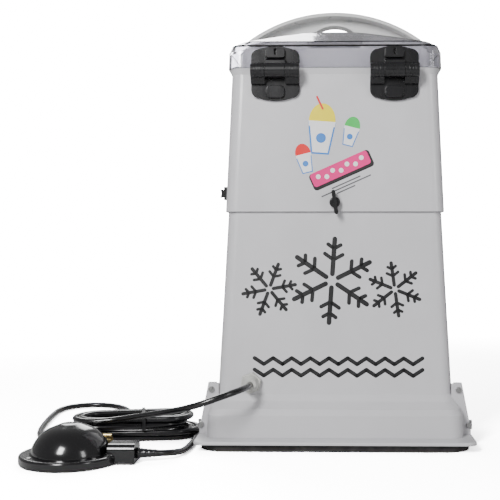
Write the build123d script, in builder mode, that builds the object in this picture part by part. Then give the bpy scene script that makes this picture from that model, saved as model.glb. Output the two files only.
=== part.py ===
"""Counter-top shaved ice machine with a dome foot switch. Millimetres, +Z up, front faces -Y."""

import os
from math import cos, pi, radians, sin, tan

from build123d import *

os.makedirs("parts", exist_ok=True)

# ---- driving dimensions -------------------------------------------------------------
WALL = 3.5  # moulded housings
SIDE_DRAFT = tan(radians(2.9))
BACK_DRAFT = tan(radians(3.0))

MAT_THICK = 10.0
MAT_INSET = 7.0
BASE_HALF_X = 191.0
BASE_HALF_Y = 205.0
LIP_THICK = 4.5
FLOOR_Z = MAT_THICK + LIP_THICK  # top of the base tray's floor

TOWER_Z = 64.0  # where the tower meets the ledge
TOWER_HALF = 164.3  # half width there
TOWER_BACK = 150.6  # back face there
TOWER_TOP_Z = 350.0
SKIRT_Z = 49.0  # top of the wide skirt under the ledge
SKIRT_HALF = 176.0
SKIRT_BACK = 178.0
NOSE_Z = 215.0  # underside of the nose that overhangs the cup
NOSE_FRONT = -150.0
BAY_BACK = -60.0  # back of the cup bay
CORNER = 16.0

HEAD_Z = 325.0
HEAD_TOP_Z = 528.0
HEAD_FLARE_Z = 519.0
HEAD_HALF = 155.0
HEAD_BACK = 141.0
HEAD_FRONT = -154.0
HEAD_DRAFT = tan(radians(2.4))

LID_HALF = 151.8
LID_BACK = 137.0
LID_FRONT = -151.0
LID_EDGE_Z = 567.0
LID_CROWN_Z = 600.0
LID_WALL = 3.0

COVER_FRONT = -182.0
COVER_BACK = -154.0
COVER_HALF = 161.0
COVER_BOTTOM = 222.0
ARCH_TOP = 680.0
ARCH_RADIUS = 254.0
ARCH_CORNER = 40.0
HAND_RADIUS = 54.0
HAND_TOP = 657.0

SHAFT_Z = 290.0
SHAFT_R = 8.0
RUNNING = 0.05  # radial clearance of a turning fit
DRUM_R = 70.0
DRUM_WALL = 4.0
DRUM_FRONT = -112.0
DRUM_BACK = -30.0

HINGE_X = 83.5
HINGE_Y = 148.5
HINGE_Z = 521.6
HINGE_R = 10.0
HINGE_WIDTH = 68.0
KNUCKLE = 28.0  # middle knuckle's length
PIN_R = 2.5

FOOT_X = 339.0
FOOT_Y = 257.0
FOOT_R = 64.5
DOME_R = 50.0

CORD_D = 8.5
CORD_R = CORD_D / 2


# ---- helpers ------------------------------------------------------------------------
def plan(height, half_width, back, front, radius):
    """One level of a housing: a rounded rectangle between its front and back faces."""
    with BuildSketch(Plane.XY.offset(height)) as level:
        with Locations((0, (back + front) / 2)):
            RectangleRounded(2 * half_width, back - front, radius)
    return level.sketch


def plans(*rows):
    return [plan(*row) for row in rows]


def tower_half(height):
    return TOWER_HALF - (height - TOWER_Z) * SIDE_DRAFT


def tower_back(height):
    return TOWER_BACK - (height - TOWER_Z) * BACK_DRAFT


def head_half(height):
    return HEAD_HALF - (height - HEAD_Z) * HEAD_DRAFT


def head_back(height):
    return HEAD_BACK - (height - HEAD_Z) * HEAD_DRAFT


def save(piece, name):
    """Labels a finished piece and writes it."""
    piece.part.label = name
    export_step(piece.part, f"parts/{name}.step")


def facing_back(y):
    """A sketch plane at y whose normal is +Y, with its own x along -X and its y up."""
    return Plane(origin=(0, y, 0), x_dir=(-1, 0, 0), z_dir=(0, 1, 0))


# ---- base ---------------------------------------------------------------------------
with BuildPart() as base_mat:
    with BuildSketch():
        RectangleRounded(2 * (BASE_HALF_X - MAT_INSET), 2 * (BASE_HALF_Y - MAT_INSET), 34)
    extrude(amount=MAT_THICK)
save(base_mat, "base_mat")

EAR_Y = 140.0  # front face of the tray's ears
EAR_THICK = 3.0
EAR_FOOT = 189.5
EAR_TOP = (177.0, 86.0)
SCREW_SPOTS = [(187.0, 27.0), (172.4, 76.0)]  # X and Z of the ear screws on one side
SCREW_R = 2.2


def ear_outline(inner):
    """The sloped ear beside the skirt, drawn on a plane whose x is the machine's X."""
    with BuildLine() as edge:
        Polyline(
            (inner, FLOOR_Z),
            (EAR_FOOT, FLOOR_Z),
            (EAR_FOOT, FLOOR_Z + 7),
            EAR_TOP,
            (TOWER_HALF + 1.2, EAR_TOP[1]),
            (TOWER_HALF + 1.2, TOWER_Z + 2),
            (inner, SKIRT_Z + 1),
            close=True,
        )
    return edge


def facing_front(y):
    """A sketch plane at y with its own x along +X, its y up and its normal -Y."""
    return Plane(origin=(0, y, 0), x_dir=(1, 0, 0), z_dir=(0, -1, 0))


with BuildPart() as base_tray:
    with BuildSketch(Plane.XY.offset(MAT_THICK)):
        RectangleRounded(2 * BASE_HALF_X, 2 * BASE_HALF_Y, 14)
    extrude(amount=LIP_THICK)
    fillet(base_tray.faces().sort_by(Axis.Z)[-1].edges(), 2.5)
    with BuildSketch(facing_front(EAR_Y + EAR_THICK)) as tray_ear:
        add(make_face(ear_outline(SKIRT_HALF + 1.3).edges()))
        fillet(tray_ear.vertices().sort_by(Axis.Z)[-1], 6)
        with Locations(*SCREW_SPOTS):
            Circle(SCREW_R, mode=Mode.SUBTRACT)
    extrude(amount=EAR_THICK)
    mirror(about=Plane.YZ)
save(base_tray, "base_tray")

# ---- lower housing: tower, ledge, skirt, nose and ears --------------------------------
LEDGE = [
    (FLOOR_Z, SKIRT_HALF + 1.0, SKIRT_BACK + 1.0, NOSE_FRONT, CORNER + 4),
    (SKIRT_Z - 4, SKIRT_HALF, SKIRT_BACK, NOSE_FRONT, CORNER + 4),
    (SKIRT_Z + 4, SKIRT_HALF - 3.0, SKIRT_BACK - 6.0, NOSE_FRONT, CORNER + 3),
    (TOWER_Z - 3, TOWER_HALF + 3.0, TOWER_BACK + 7.0, NOSE_FRONT, CORNER + 1),
    (TOWER_Z + 6, tower_half(TOWER_Z + 6), tower_back(TOWER_Z + 6), NOSE_FRONT, CORNER),
    (TOWER_TOP_Z, tower_half(TOWER_TOP_Z), tower_back(TOWER_TOP_Z), NOSE_FRONT, CORNER),
]


def inset(rows, wall):
    return [(z, half - wall, back - wall, front + wall, r - wall) for z, half, back, front, r in rows]


def bay_block():
    """The cup bay, cut out of the front of the tower below the nose."""
    with BuildSketch(Plane.XY.offset(FLOOR_Z - 1)) as footprint:
        with Locations((0, BAY_BACK - 100)):
            Rectangle(2 * SKIRT_HALF + 20, 200)
    return extrude(footprint.sketch, amount=NOSE_Z - FLOOR_Z + 1)


GLAND_X = 116.5
GLAND_Z = 86.0
GLAND_HOLE = 8.2
KNOB_Z = 337.7
KNOB_HOLE = 3.4
BAY = bay_block()

with BuildPart() as lower_housing:
    loft(sections=plans(*LEDGE), ruled=True)
    loft(sections=plans(*inset(LEDGE, WALL)), ruled=True, mode=Mode.SUBTRACT)
    add(BAY, mode=Mode.SUBTRACT)
    with BuildSketch(facing_front(EAR_Y + 2 * EAR_THICK + 0.02)) as shell_ear:
        add(make_face(ear_outline(SKIRT_HALF - 1.0).edges()))
        fillet(shell_ear.vertices().sort_by(Axis.Z)[-1], 6)
        with BuildLine():
            Polyline(
                (SKIRT_HALF - 1.0, SKIRT_Z - 6),
                (SKIRT_HALF + 1.0, SKIRT_Z - 6),
                (TOWER_HALF + 4.0, EAR_TOP[1] - 1),
                (TOWER_HALF - 2.0, EAR_TOP[1] - 1),
                (TOWER_HALF - 2.0, TOWER_Z),
                close=True,
            )
        make_face()
        with Locations(*SCREW_SPOTS):
            Circle(SCREW_R, mode=Mode.SUBTRACT)
    extrude(amount=EAR_THICK)
    with BuildSketch(facing_front(EAR_Y + 2 * EAR_THICK + 0.02)):
        add(mirror(shell_ear.sketch, about=Plane.YZ, mode=Mode.PRIVATE))
    extrude(amount=EAR_THICK)
    with BuildSketch(facing_back(TOWER_BACK - 12)):
        with Locations((-GLAND_X, GLAND_Z)):
            Circle(GLAND_HOLE)
        with Locations((0, KNOB_Z)):
            Circle(KNOB_HOLE)
    extrude(amount=30, mode=Mode.SUBTRACT)
    with BuildSketch(facing_back(120)):
        with Locations((0, KNOB_Z)):
            Circle(KNOB_HOLE)
    extrude(amount=30, mode=Mode.SUBTRACT)
save(lower_housing, "lower_housing")

# Screws pass from the back through both ears into clip nuts pushed over the tray's ears.
EAR_BACK = EAR_Y + 2 * EAR_THICK + 0.02
with BuildPart() as ear_screws:
    for side in (1, -1):
        spots = [(side * x, z) for x, z in SCREW_SPOTS]
        with BuildSketch(facing_front(EAR_BACK)):
            with Locations(*spots):
                Circle(SCREW_R - 0.2)
        extrude(amount=2 * EAR_THICK + 9)
        with BuildSketch(facing_back(EAR_BACK)):
            with Locations(*[(-x, z) for x, z in spots]):
                Circle(4.4)
        extrude(amount=2.6, taper=12)
save(ear_screws, "ear_screws")

with BuildPart() as clip_nuts:
    for side in (1, -1):
        for x, z in SCREW_SPOTS:
            with BuildSketch(facing_front(EAR_Y)):
                with Locations((side * x, z)):
                    RectangleRounded(10, 13, 1)
                    Circle(SCREW_R, mode=Mode.SUBTRACT)
            extrude(amount=1.6)
            with BuildSketch(facing_front(EAR_Y - 1.6)):
                with Locations((side * x, z)):
                    Circle(4.0)
                    Circle(SCREW_R, mode=Mode.SUBTRACT)
            extrude(amount=3.0)
save(clip_nuts, "clip_nuts")

# ---- splash panel that closes the cup bay ---------------------------------------------
PANEL = 1.5
CHUTE_HALF_X = 46.0
CHUTE_BACK = -118.5
CHUTE_FRONT = -145.5
with BuildPart() as splash_panel:
    with BuildSketch(facing_front(BAY_BACK)):
        with BuildLine():
            Polyline(
                (-SKIRT_HALF + 4, FLOOR_Z),
                (SKIRT_HALF - 4, FLOOR_Z),
                (SKIRT_HALF - 5, SKIRT_Z),
                (tower_half(TOWER_Z) - 1, TOWER_Z + 4),
                (tower_half(NOSE_Z) - 1, NOSE_Z),
                (-tower_half(NOSE_Z) + 1, NOSE_Z),
                (-tower_half(TOWER_Z) + 1, TOWER_Z + 4),
                (-SKIRT_HALF + 5, SKIRT_Z),
                close=True,
            )
        make_face()
    extrude(amount=PANEL)
    with BuildSketch(Plane.XY.offset(NOSE_Z - PANEL)):
        with Locations((0, (BAY_BACK + NOSE_FRONT) / 2)):
            Rectangle(2 * tower_half(NOSE_Z) - 2, BAY_BACK - NOSE_FRONT)
        with Locations((0, (CHUTE_BACK + CHUTE_FRONT) / 2)):
            Rectangle(2 * CHUTE_HALF_X + 1, CHUTE_BACK - CHUTE_FRONT + 1, mode=Mode.SUBTRACT)
    extrude(amount=PANEL)
save(splash_panel, "splash_panel")

PANEL_SCREWS = [(x, z) for x in (-140.0, 140.0) for z in (34.0, 196.0)]
with BuildPart() as panel_screws:
    with BuildSketch(facing_front(BAY_BACK - PANEL)):
        with Locations(*PANEL_SCREWS):
            Circle(4.2)
    extrude(amount=2.2, taper=15)
save(panel_screws, "panel_screws")

# ---- deck, posts, motor -----------------------------------------------------------------
DECK_Z = 205.0
DECK_THICK = 4.0
POSTS = [(x, y) for x in (-118.0, 118.0) for y in (-40.0, 112.0)]
with BuildPart() as deck_posts:
    with BuildSketch(Plane.XY.offset(FLOOR_Z)):
        with Locations(*POSTS):
            RegularPolygon(10, 6)
    extrude(amount=DECK_Z - FLOOR_Z)
save(deck_posts, "deck_posts")

with BuildPart() as deck_plate:
    with BuildSketch(Plane.XY.offset(DECK_Z)):
        with Locations((0, 36)):
            RectangleRounded(280, 184, 12)
        with Locations((0, 36)):
            SlotOverall(120, 40, mode=Mode.SUBTRACT)
    extrude(amount=DECK_THICK)
save(deck_plate, "deck_plate")

MOTOR_R = 56.0
MOTOR_FRONT = -16.0
MOTOR_BACK = 98.0
with BuildPart() as motor_body:
    with BuildSketch(facing_back(MOTOR_FRONT)):
        with Locations((0, SHAFT_Z)):
            Circle(MOTOR_R)
    extrude(amount=MOTOR_BACK - MOTOR_FRONT)
    fillet(motor_body.faces().sort_by(Axis.Y)[0].edges(), 6)
    with BuildSketch(facing_front(MOTOR_FRONT)):
        with Locations((0, SHAFT_Z)):
            Circle(20)
    extrude(amount=6)
    with BuildSketch(facing_back(MOTOR_FRONT - 6)):
        with Locations((0, SHAFT_Z)):
            Circle(SHAFT_R + RUNNING)
    extrude(amount=96, mode=Mode.SUBTRACT)
    with BuildSketch(facing_back(MOTOR_FRONT + 22)):
        with Locations((0, SHAFT_Z)):
            with PolarLocations(MOTOR_R, 24):
                Rectangle(3.2, 3.0)
    extrude(amount=70, mode=Mode.SUBTRACT)
save(motor_body, "motor_body")

with BuildPart() as motor_end_cap:
    with BuildSketch(facing_back(MOTOR_BACK)):
        with Locations((0, SHAFT_Z)):
            Circle(MOTOR_R - 1)
    extrude(amount=16, taper=14)
    with BuildSketch(facing_back(MOTOR_BACK + 2)):
        with Locations((0, SHAFT_Z)):
            with PolarLocations(30, 12):
                SlotOverall(18, 4)
    extrude(amount=20, mode=Mode.SUBTRACT)
save(motor_end_cap, "motor_end_cap")

CRADLE_Y = (4.0, 66.0)
with BuildPart() as motor_cradle:
    for y in CRADLE_Y:
        with BuildSketch(facing_back(y)):
            with BuildLine():
                Polyline(
                    (-54, DECK_Z + DECK_THICK),
                    (54, DECK_Z + DECK_THICK),
                    (46, SHAFT_Z - 20),
                    (-46, SHAFT_Z - 20),
                    close=True,
                )
            make_face()
            with Locations((0, SHAFT_Z)):
                Circle(MOTOR_R + 0.02, mode=Mode.SUBTRACT)
        extrude(amount=12)
save(motor_cradle, "motor_cradle")

with BuildPart() as cradle_bolts:
    for y in CRADLE_Y:
        with BuildSketch(Plane.XY.offset(DECK_Z - 5)):
            with Locations((-66, y + 6), (66, y + 6)):
                RegularPolygon(6, 6)
        extrude(amount=5)
save(cradle_bolts, "cradle_bolts")

with BuildPart() as run_capacitor:
    with BuildSketch(Plane.XY.offset(DECK_Z + DECK_THICK)):
        with Locations((96, 20)):
            Circle(21)
    extrude(amount=88)
    fillet(run_capacitor.faces().sort_by(Axis.Z)[-1].edges(), 4)
    with BuildSketch(Plane.XY.offset(DECK_Z + DECK_THICK + 88)):
        with Locations((90, 20), (102, 20)):
            Rectangle(1.2, 6)
    extrude(amount=9)
save(run_capacitor, "run_capacitor")

with BuildPart() as terminal_block:
    with BuildSketch(Plane.XY.offset(DECK_Z + DECK_THICK)):
        with Locations((-96, 20)):
            Rectangle(24, 64)
    extrude(amount=18)
    with BuildSketch(Plane.XY.offset(DECK_Z + DECK_THICK + 18)):
        with Locations((-96, 20)):
            with GridLocations(0, 12, 1, 5):
                Circle(3.5)
    extrude(amount=-6, mode=Mode.SUBTRACT)
save(terminal_block, "terminal_block")

# ---- ice drum, bearing, blades --------------------------------------------------------
INLET_HALF_X = 44.0
INLET_BACK = -40.0
INLET_FRONT = -102.0
INLET_TOP = 376.0
with BuildPart() as ice_drum:
    with BuildSketch(facing_back(DRUM_FRONT)):
        with Locations((0, SHAFT_Z)):
            Circle(DRUM_R + DRUM_WALL)
    extrude(amount=DRUM_BACK - DRUM_FRONT + DRUM_WALL)
    with BuildSketch(Plane.XY.offset(SHAFT_Z)):
        with Locations((0, (INLET_BACK + INLET_FRONT) / 2)):
            Rectangle(2 * INLET_HALF_X + 8, INLET_BACK - INLET_FRONT + 8)
    extrude(amount=INLET_TOP - SHAFT_Z)
    with BuildSketch(facing_back(DRUM_BACK)):
        with Locations((0, (SHAFT_Z + DECK_Z + DECK_THICK) / 2)):
            Rectangle(130, SHAFT_Z - DECK_Z - DECK_THICK)
    extrude(amount=DRUM_WALL)
    with BuildSketch(facing_back(DRUM_FRONT - 1)):
        with Locations((0, SHAFT_Z)):
            Circle(DRUM_R)
    extrude(amount=DRUM_BACK - DRUM_FRONT + 1, mode=Mode.SUBTRACT)
    with BuildSketch(Plane.XY.offset(SHAFT_Z + 20)):
        with Locations((0, (INLET_BACK + INLET_FRONT) / 2)):
            Rectangle(2 * INLET_HALF_X, INLET_BACK - INLET_FRONT)
    extrude(amount=INLET_TOP - SHAFT_Z, mode=Mode.SUBTRACT)
    with BuildSketch(facing_back(DRUM_BACK - 1)):
        with Locations((0, SHAFT_Z)):
            Circle(17)
    extrude(amount=DRUM_WALL + 2, mode=Mode.SUBTRACT)
save(ice_drum, "ice_drum")

with BuildPart() as shaft_bearing:
    with BuildSketch(facing_back(DRUM_BACK)):
        with Locations((0, SHAFT_Z)):
            Circle(17)
            Circle(SHAFT_R + RUNNING, mode=Mode.SUBTRACT)
    extrude(amount=DRUM_WALL)
save(shaft_bearing, "shaft_bearing")

PLATE = 3.0
SLOT_MID = 40.0
with BuildPart() as blade_plate:
    with BuildSketch(facing_front(DRUM_FRONT)):
        with Locations((0, SHAFT_Z)):
            Circle(DRUM_R + DRUM_WALL)
            with PolarLocations(SLOT_MID, 3, start_angle=90):
                Rectangle(50, 7, mode=Mode.SUBTRACT)
    extrude(amount=PLATE)
save(blade_plate, "blade_plate")

with BuildPart() as shaving_blades:
    with BuildSketch(facing_front(DRUM_FRONT - PLATE)):
        with Locations((0, SHAFT_Z)):
            for k in range(3):
                turn = 90 + 120 * k
                with PolarLocations(SLOT_MID, 1, start_angle=turn):
                    with Locations((0, 8)):
                        Rectangle(50, 10)
    extrude(amount=1.6)
save(shaving_blades, "shaving_blades")

with BuildPart() as blade_screws:
    with BuildSketch(facing_front(DRUM_FRONT - PLATE - 1.6)):
        with Locations((0, SHAFT_Z)):
            for k in range(3):
                turn = 90 + 120 * k
                with PolarLocations(SLOT_MID, 1, start_angle=turn):
                    with Locations((-16, 8), (16, 8)):
                        Circle(2.6)
    extrude(amount=1.2)
save(blade_screws, "blade_screws")

CHUTE_TOP = 360.0
CHUTE_END = 192.0
SHEET = 1.2
with BuildPart() as snow_chute:
    with BuildSketch(Plane.XY.offset(CHUTE_END)):
        with Locations((0, (CHUTE_BACK + CHUTE_FRONT) / 2)):
            Rectangle(2 * CHUTE_HALF_X, CHUTE_BACK - CHUTE_FRONT)
    extrude(amount=CHUTE_TOP - CHUTE_END)
    with BuildSketch(Plane.XY.offset(CHUTE_END)):
        with Locations((0, (CHUTE_BACK + CHUTE_FRONT) / 2)):
            Rectangle(2 * (CHUTE_HALF_X - SHEET), CHUTE_BACK - CHUTE_FRONT - 2 * SHEET)
    extrude(amount=CHUTE_TOP - CHUTE_END - SHEET, mode=Mode.SUBTRACT)
    with BuildSketch(facing_front(CHUTE_BACK + 1)):
        with Locations((0, (CHUTE_TOP - SHEET + SHAFT_Z - 66) / 2)):
            Rectangle(2 * (CHUTE_HALF_X - SHEET), CHUTE_TOP - SHEET - SHAFT_Z + 66)
    extrude(amount=4, mode=Mode.SUBTRACT)
save(snow_chute, "snow_chute")

# ---- turning group: shaft, impeller, nut ------------------------------------------------
SHAFT_FRONT = -104.0
with BuildPart() as motor_shaft:
    with BuildSketch(facing_back(SHAFT_FRONT)):
        with Locations((0, SHAFT_Z)):
            Circle(SHAFT_R)
    extrude(amount=64 - SHAFT_FRONT)
save(motor_shaft, "motor_shaft")

HUB_R = 17.0
HUB_FRONT = -100.0
HUB_BACK = -35.0
with BuildPart() as impeller:
    with BuildSketch(facing_back(HUB_FRONT)):
        with Locations((0, SHAFT_Z)):
            Circle(HUB_R)
            with PolarLocations(39, 3):
                Rectangle(56, 5)
            Circle(SHAFT_R, mode=Mode.SUBTRACT)
    extrude(amount=HUB_BACK - HUB_FRONT)
    with BuildSketch(facing_back(HUB_FRONT - 9)):
        with Locations((0, SHAFT_Z)):
            with PolarLocations(46, 3):
                Rectangle(42, 5)
    extrude(amount=9)
save(impeller, "impeller")

with BuildPart() as impeller_nut:
    with BuildSketch(facing_front(HUB_FRONT)):
        with Locations((0, SHAFT_Z)):
            RegularPolygon(14, 6)
    extrude(amount=10)
    with BuildSketch(facing_front(HUB_FRONT)):
        with Locations((0, SHAFT_Z)):
            Circle(SHAFT_R)
    extrude(amount=-SHAFT_FRONT + HUB_FRONT, mode=Mode.SUBTRACT)
save(impeller_nut, "impeller_nut")

# ---- upper housing and hopper ------------------------------------------------------------
HEAD_ROWS = [
    (HEAD_Z, HEAD_HALF, HEAD_BACK, HEAD_FRONT, CORNER + 2),
    (HEAD_FLARE_Z, head_half(HEAD_FLARE_Z), head_back(HEAD_FLARE_Z), HEAD_FRONT, CORNER + 2),
    (HEAD_TOP_Z, LID_HALF - 1.5, LID_BACK - 1.5, HEAD_FRONT, CORNER + 4),
]
SWITCH_Y = 104.0
SWITCH_Z = 352.5
with BuildPart() as upper_housing:
    loft(sections=plans(*HEAD_ROWS), ruled=True)
    loft(sections=plans(*inset(HEAD_ROWS, WALL)), ruled=True, mode=Mode.SUBTRACT)
    with BuildSketch(facing_back(120)):
        with Locations((0, KNOB_Z)):
            Circle(KNOB_HOLE)
    extrude(amount=40, mode=Mode.SUBTRACT)
save(upper_housing, "upper_housing")

HOPPER_WALL = 3.0
RIM_TOP = 557.0
RIM_HALF = 138.0
RIM_BACK = 124.0
RIM_FRONT = -138.0
THROAT = (INLET_TOP, INLET_HALF_X + HOPPER_WALL, INLET_BACK + HOPPER_WALL, INLET_FRONT - HOPPER_WALL, 6)
HOPPER_ROWS = [
    THROAT,
    (400.0, INLET_HALF_X + 6, INLET_BACK + 8, INLET_FRONT - 6, 8),
    (500.0, RIM_HALF, RIM_BACK, RIM_FRONT, 22),
    (RIM_TOP, RIM_HALF, RIM_BACK, RIM_FRONT, 22),
]
with BuildPart() as hopper_funnel:
    loft(sections=plans(*HOPPER_ROWS), ruled=True)
    with BuildSketch(Plane.XY.offset(HEAD_TOP_Z + 0.02)):
        with Locations((0, (LID_BACK + LID_FRONT) / 2)):
            RectangleRounded(2 * LID_HALF - 10, LID_BACK - LID_FRONT - 10, CORNER + 2)
    extrude(amount=2.5)
    loft(sections=plans(*inset(HOPPER_ROWS, HOPPER_WALL)), ruled=True, mode=Mode.SUBTRACT)
save(hopper_funnel, "hopper_funnel")

# ---- front cover with its arched top -----------------------------------------------------
def cover_outline(shrink):
    """Tombstone outline: straight sides, small corner arcs and one wide arch."""
    half = COVER_HALF - shrink
    top = ARCH_TOP - shrink
    crown = ARCH_RADIUS - shrink
    small = ARCH_CORNER - shrink
    middle = top - crown
    offset_x = half - small
    reach = crown - small
    centre_z = middle + (reach**2 - offset_x**2) ** 0.5
    share = crown / reach
    join = (offset_x * share, middle + (centre_z - middle) * share)
    with BuildLine() as edge:
        Line((-half, COVER_BOTTOM), (half, COVER_BOTTOM))
        Line((half, COVER_BOTTOM), (half, centre_z))
        right = (offset_x + small * cos(pi / 6), centre_z + small * sin(pi / 6))
        ThreePointArc((half, centre_z), right, join)
        ThreePointArc(join, (0, top), (-join[0], join[1]))
        ThreePointArc((-join[0], join[1]), (-right[0], right[1]), (-half, centre_z))
        Line((-half, centre_z), (-half, COVER_BOTTOM))
    return edge


COVER_RIM = 6.0
COVER_FACE = 4.0
COVER_SCREWS = [(x, z) for x in (-132.0, 132.0) for z in (300.0, 500.0)]
with BuildPart() as front_cover:
    with BuildSketch(facing_front(COVER_BACK)):
        add(make_face(cover_outline(0).edges()))
    extrude(amount=COVER_BACK - COVER_FRONT)
    fillet(front_cover.faces().sort_by(Axis.Y)[0].edges(), 3.5)
    with BuildSketch(facing_front(COVER_BACK)):
        add(make_face(cover_outline(COVER_RIM).edges()))
    extrude(amount=COVER_BACK - COVER_FRONT - COVER_FACE, mode=Mode.SUBTRACT)
    with BuildSketch(facing_front(COVER_BACK)):
        with Locations((0, HAND_TOP - HAND_RADIUS)):
            Circle(HAND_RADIUS + 4)
        with Locations((0, HAND_TOP - HAND_RADIUS - 14)):
            Rectangle(2 * HAND_RADIUS + 8, 36)
    extrude(amount=COVER_BACK - COVER_FRONT - 1)
    with BuildSketch(facing_front(COVER_BACK)):
        with Locations((0, HAND_TOP - HAND_RADIUS)):
            Circle(HAND_RADIUS)
        with Locations((0, HAND_TOP - HAND_RADIUS - 14)):
            Rectangle(2 * HAND_RADIUS, 28)
    extrude(amount=COVER_BACK - COVER_FRONT, mode=Mode.SUBTRACT)
    with BuildSketch(facing_front(COVER_BACK)):
        with Locations(*COVER_SCREWS):
            Circle(9)
    extrude(amount=COVER_BACK - COVER_FRONT - 1)
save(front_cover, "front_cover")

with BuildPart() as cover_screws:
    with BuildSketch(facing_front(COVER_FRONT)):
        with Locations(*COVER_SCREWS):
            Circle(5.5)
    extrude(amount=3, taper=15)
save(cover_screws, "cover_screws")

# ---- lid ------------------------------------------------------------------------------
LID_FOOT = HEAD_TOP_Z + 0.3
LID_ROWS = [
    (LID_FOOT, LID_HALF, LID_BACK, LID_FRONT, 20),
    (LID_EDGE_Z - 16, LID_HALF - 0.8, LID_BACK - 0.6, LID_FRONT + 0.6, 20),
    (LID_EDGE_Z - 6, LID_HALF - 5.0, LID_BACK - 3.0, LID_FRONT + 3.0, 20),
    (LID_EDGE_Z, LID_HALF - 17.0, LID_BACK - 9.0, LID_FRONT + 9.0, 18),
    (LID_EDGE_Z + 18, 92.0, 80.0, -92.0, 18),
    (LID_CROWN_Z - 4, 58.0, 52.0, -64.0, 18),
    (LID_CROWN_Z, 44.0, 40.0, -52.0, 18),
]


def inner_lid(rows, wall):
    """The lid's inside, a wall thinner all round and open at the bottom."""
    made = [(z - wall, half - wall, back - wall, front + wall, r - wall + 2) for z, half, back, front, r in rows]
    first = made[0]
    return [(rows[0][0], *first[1:])] + made[1:]


with BuildPart() as lid:
    loft(sections=plans(*LID_ROWS), ruled=True)
    loft(sections=plans(*inner_lid(LID_ROWS, LID_WALL)), ruled=True, mode=Mode.SUBTRACT)
save(lid, "lid")

# ---- hinges -------------------------------------------------------------------------------
LEAF = 4.0
LID_LEAF_Y = LID_BACK + 0.02
HEAD_LEAF_Y = head_back(500) + 0.9
LEAF_TOP = 557.0
LEAF_BOTTOM = 481.0
GAP = 0.4  # between knuckles, along the pin
OUTER_KNUCKLE = (HINGE_WIDTH - KNUCKLE) / 2 - GAP


def across(x):
    """A sketch plane at x whose normal is +X, with its own x along +Y and its y up."""
    return Plane(origin=(x, 0, 0), x_dir=(0, 1, 0), z_dir=(1, 0, 0))


LEAF_CORNER = 11.0
LEAF_CROWN = 4.0


def leaf_outline(y, middle, root, tip):
    """A leaf seen from behind: straight sides, round corners and a shallow arc at its tip."""
    flat = tip - LEAF_CROWN if tip > root else tip + LEAF_CROWN
    reach = HINGE_WIDTH / 2 - LEAF_CORNER
    with BuildSketch(facing_back(y)) as leaf:
        with Locations((-middle, (root + flat) / 2)):
            Rectangle(HINGE_WIDTH, abs(flat - root))
        free_end = -1 if tip > root else 0
        fillet(leaf.vertices().group_by(Axis.Y)[free_end], LEAF_CORNER)
        with BuildLine():
            ThreePointArc((-middle - reach, flat), (-middle, tip), (-middle + reach, flat))
            Line((-middle + reach, flat), (-middle - reach, flat))
        make_face()
    return leaf.sketch


with BuildPart() as hinge_upper_leaves:
    for side in (1, -1):
        middle = side * HINGE_X
        with BuildSketch(across(middle - KNUCKLE / 2)):
            with Locations((HINGE_Y, HINGE_Z)):
                Circle(HINGE_R)
            with BuildLine():
                Polyline(
                    (LID_LEAF_Y, HINGE_Z + 8),
                    (HINGE_Y + 2, HINGE_Z + 4),
                    (HINGE_Y + 2, HINGE_Z + 14),
                    (LID_LEAF_Y + LEAF + 3, HINGE_Z + 17),
                    (LID_LEAF_Y, HINGE_Z + 17),
                    close=True,
                )
            make_face()
            with Locations((HINGE_Y, HINGE_Z)):
                Circle(PIN_R + RUNNING, mode=Mode.SUBTRACT)
        extrude(amount=KNUCKLE)
        extrude(leaf_outline(LID_LEAF_Y, middle, HINGE_Z + 11.5, LEAF_TOP), amount=LEAF)
save(hinge_upper_leaves, "hinge_upper_leaves")

with BuildPart() as hinge_caps:
    for side in (1, -1):
        with BuildSketch(facing_back(LID_LEAF_Y + LEAF)):
            with Locations((-side * HINGE_X, (HINGE_Z + 18 + LEAF_TOP - 3) / 2)):
                RectangleRounded(KNUCKLE, LEAF_TOP - HINGE_Z - 21, 4)
                with Locations((0, 2)):
                    Rectangle(1.6, 7, mode=Mode.SUBTRACT)
        extrude(amount=4.5, taper=10)
save(hinge_caps, "hinge_caps")

with BuildPart() as hinge_lower_leaves:
    for side in (1, -1):
        middle = side * HINGE_X
        for start in (middle - HINGE_WIDTH / 2, middle + KNUCKLE / 2 + GAP):
            with BuildSketch(across(start)):
                with Locations((HINGE_Y, HINGE_Z)):
                    Circle(HINGE_R)
                with BuildLine():
                    Polyline(
                        (HEAD_LEAF_Y, HINGE_Z - 14),
                        (HEAD_LEAF_Y + LEAF + 4, HINGE_Z - 18),
                        (HINGE_Y + 4, HINGE_Z - 7),
                        (HINGE_Y - 4, HINGE_Z - 5),
                        (HEAD_LEAF_Y + 3.5, HINGE_Z - 8),
                        close=True,
                    )
                make_face()
                with Locations((HINGE_Y, HINGE_Z)):
                    Circle(PIN_R, mode=Mode.SUBTRACT)
            extrude(amount=OUTER_KNUCKLE)
        extrude(leaf_outline(HEAD_LEAF_Y, middle, HINGE_Z - 5.1, LEAF_BOTTOM), amount=LEAF)
        with BuildSketch(facing_back(HEAD_LEAF_Y + LEAF)):
            with Locations((-middle, LEAF_BOTTOM + 12)):
                RectangleRounded(26, 18, 6)
        extrude(amount=3.5, taper=12)
save(hinge_lower_leaves, "hinge_lower_leaves")

with BuildPart() as hinge_pins:
    for side in (1, -1):
        with BuildSketch(across(side * HINGE_X - HINGE_WIDTH / 2)):
            with Locations((HINGE_Y, HINGE_Z)):
                Circle(PIN_R)
        extrude(amount=HINGE_WIDTH)
save(hinge_pins, "hinge_pins")

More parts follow.
